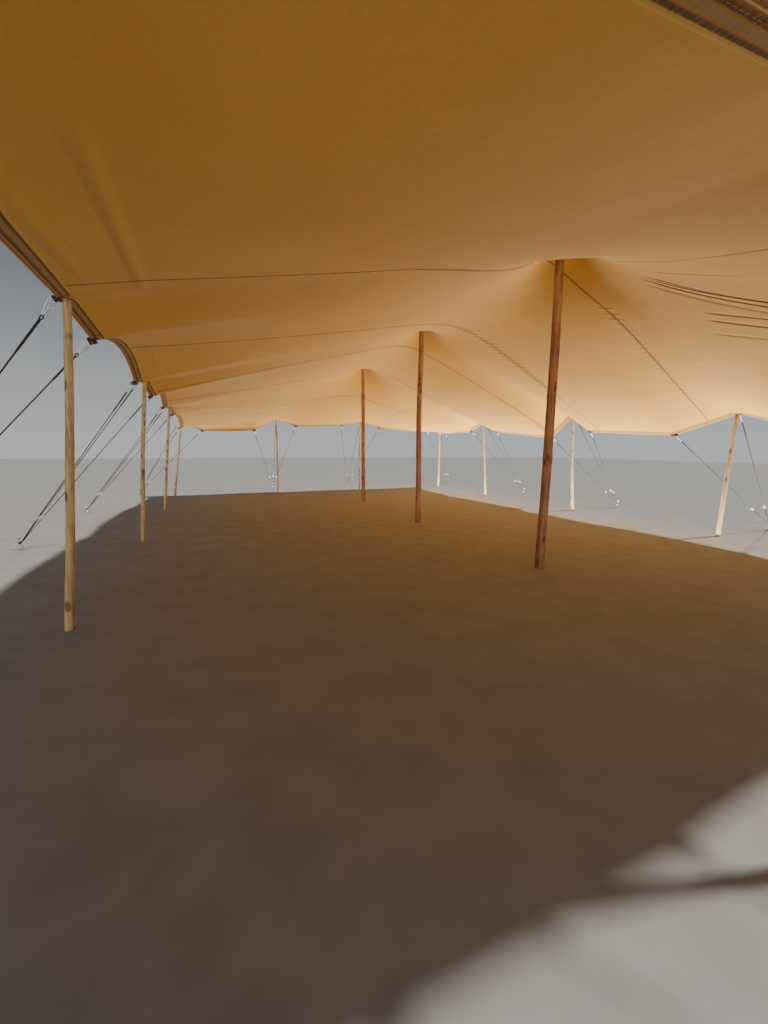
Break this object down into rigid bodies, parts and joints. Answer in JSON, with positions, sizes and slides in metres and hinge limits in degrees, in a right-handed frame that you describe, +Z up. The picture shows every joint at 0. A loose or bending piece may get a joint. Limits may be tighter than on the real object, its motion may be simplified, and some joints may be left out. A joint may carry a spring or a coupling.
{
  "type": "stretch tent",
  "caption": "Open stretch tent: a stretched fabric roof on a row of wooden king poles and shorter edge poles, held by rope guys to steel ground stakes.",
  "frame": {"origin": "on the ground, in the middle of the outline of the stakes", "axes": "+X across the tent towards its lower side, +Y along the row of king poles, +Z up"},
  "size_m": [13.5062, 18.0464, 4.062],
  "materials": {
    "canopy_fabric": "matte",
    "king_pole_wood": "satin",
    "edge_pole_wood": "satin",
    "rope_black": "matte",
    "stake_steel": "satin"
  },
  "bodies": {
    "root": {"canopy": "canopy_fabric", "king_pole_1": "king_pole_wood", "king_pole_2": "king_pole_wood", "king_pole_3": "king_pole_wood", "edge_pole_left_1": "edge_pole_wood", "edge_pole_left_2": "edge_pole_wood", "edge_pole_left_3": "edge_pole_wood", "edge_pole_left_4": "edge_pole_wood", "edge_pole_left_5": "edge_pole_wood", "edge_pole_right_1": "edge_pole_wood", "edge_pole_right_2": "edge_pole_wood", "edge_pole_right_3": "edge_pole_wood", "edge_pole_right_4": "edge_pole_wood", "edge_pole_right_5": "edge_pole_wood", "edge_pole_near_1": "edge_pole_wood", "edge_pole_near_2": "edge_pole_wood", "edge_pole_far_1": "edge_pole_wood", "edge_pole_far_2": "edge_pole_wood", "guy_ropes_left_1": "rope_black", "guy_ropes_left_2": "rope_black", "guy_ropes_left_3": "rope_black", "guy_ropes_left_4": "rope_black", "guy_ropes_left_5": "rope_black", "guy_ropes_right_1": "rope_black", "guy_ropes_right_2": "rope_black", "guy_ropes_right_3": "rope_black", "guy_ropes_right_4": "rope_black", "guy_ropes_right_5": "rope_black", "guy_ropes_near_1": "rope_black", "guy_ropes_near_2": "rope_black", "guy_ropes_far_1": "rope_black", "guy_ropes_far_2": "rope_black", "stake_left_1": "stake_steel", "stake_left_2": "stake_steel", "stake_left_3": "stake_steel", "stake_left_4": "stake_steel", "stake_left_5": "stake_steel", "stake_right_1": "stake_steel", "stake_right_2": "stake_steel", "stake_right_3": "stake_steel", "stake_right_4": "stake_steel", "stake_right_5": "stake_steel", "stake_near_1": "stake_steel", "stake_near_2": "stake_steel", "stake_far_1": "stake_steel", "stake_far_2": "stake_steel"}
  },
  "joints": []
}
